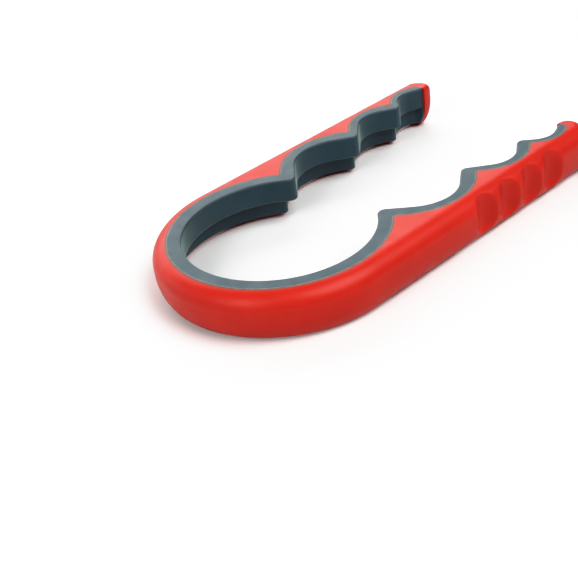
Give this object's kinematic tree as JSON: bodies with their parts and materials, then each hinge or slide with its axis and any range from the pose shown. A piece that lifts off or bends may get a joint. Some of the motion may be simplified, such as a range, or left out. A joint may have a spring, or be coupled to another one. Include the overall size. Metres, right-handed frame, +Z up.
{
  "type": "jar opener",
  "caption": "Springy U-shaped jar and bottle opener: a red frame with a round bow and two arms, lined with a grey rubber grip with scallops for smaller lids.",
  "frame": {"origin": "middle of the footprint, on the flat underside", "axes": "+X from the bow towards the arms' free ends, +Y towards the left arm, +Z up from the underside to the top face; the XZ plane is the plane of symmetry"},
  "size_m": [0.2216, 0.121, 0.024],
  "materials": {
    "red_frame": "satin to semi-gloss moulded polypropylene",
    "grey_liner": "matte thermoplastic rubber"
  },
  "bodies": {
    "bow": {"frame_bow": "red_frame", "liner_bow": "grey_liner"},
    "left_arm": {"frame_arm_left": "red_frame", "liner_arm_left": "grey_liner"},
    "right_arm": {"frame_arm_right": "red_frame", "liner_arm_right": "grey_liner"}
  },
  "joints": [
    {"name": "left_arm_flex", "type": "hinge", "parent": "bow", "child": "left_arm", "pos_m": [-0.09164, 0.03368, 0.012], "axis": [0, 0, -1], "range_deg": [-3, 9], "stiffness_Nm_per_rad": 12},
    {"name": "right_arm_flex", "type": "hinge", "parent": "bow", "child": "right_arm", "pos_m": [-0.09164, -0.03368, 0.012], "axis": [0, 0, 1], "range_deg": [-3, 9], "stiffness_Nm_per_rad": 12}
  ],
  "couplings": [
    {"joint": "right_arm_flex", "follows": "left_arm_flex", "ratio": 1}
  ]
}
